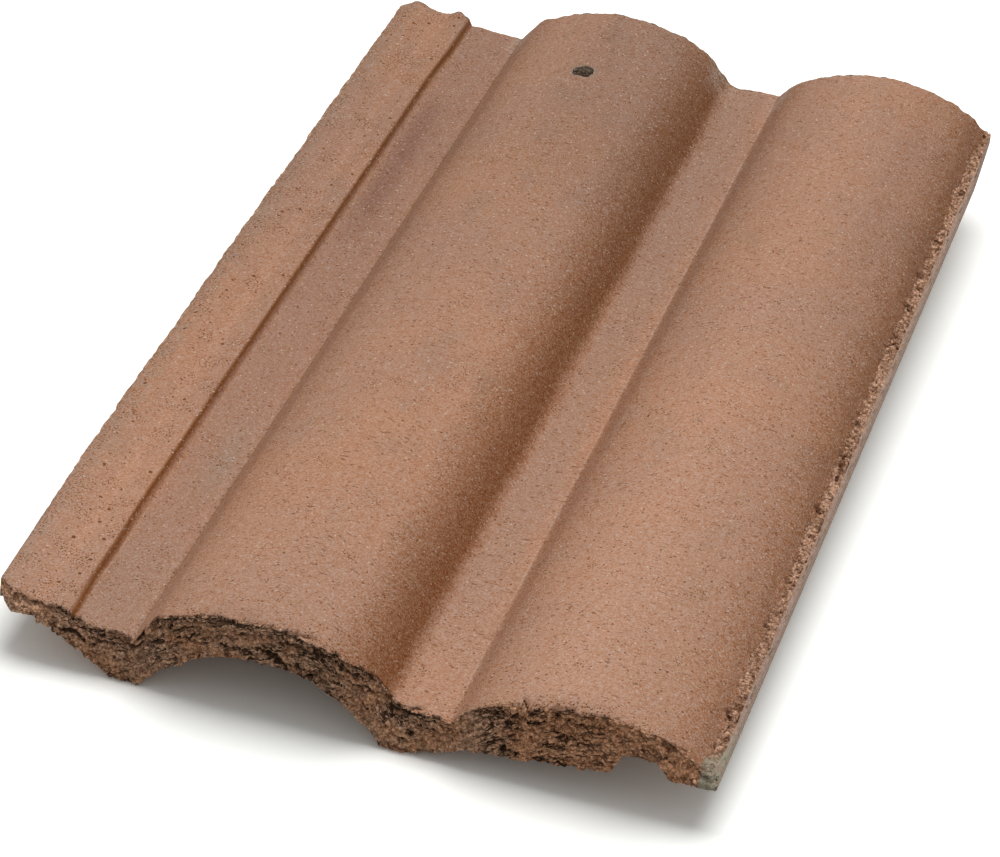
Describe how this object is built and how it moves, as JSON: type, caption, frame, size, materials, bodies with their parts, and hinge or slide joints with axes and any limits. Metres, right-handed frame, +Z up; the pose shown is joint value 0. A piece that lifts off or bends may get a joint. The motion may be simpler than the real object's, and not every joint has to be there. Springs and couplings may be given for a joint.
{
  "type": "interlocking double-roll roof tile",
  "caption": "Extruded concrete roof tile with two rolls, a pan, an underlock flange, an overlock lip, batten nibs and a nail hole.",
  "frame": {"origin": "on the floor, under the middle of the tile's overall box", "axes": "+Z up; +Y along the rolls from the tail to the head; +X across the tile from the underlock flange to the overlock edge"},
  "size_m": [0.23, 0.388, 0.0507],
  "materials": {
    "concrete": "matt sanded"
  },
  "bodies": {
    "root": {"roof_tile": "concrete"}
  },
  "joints": []
}
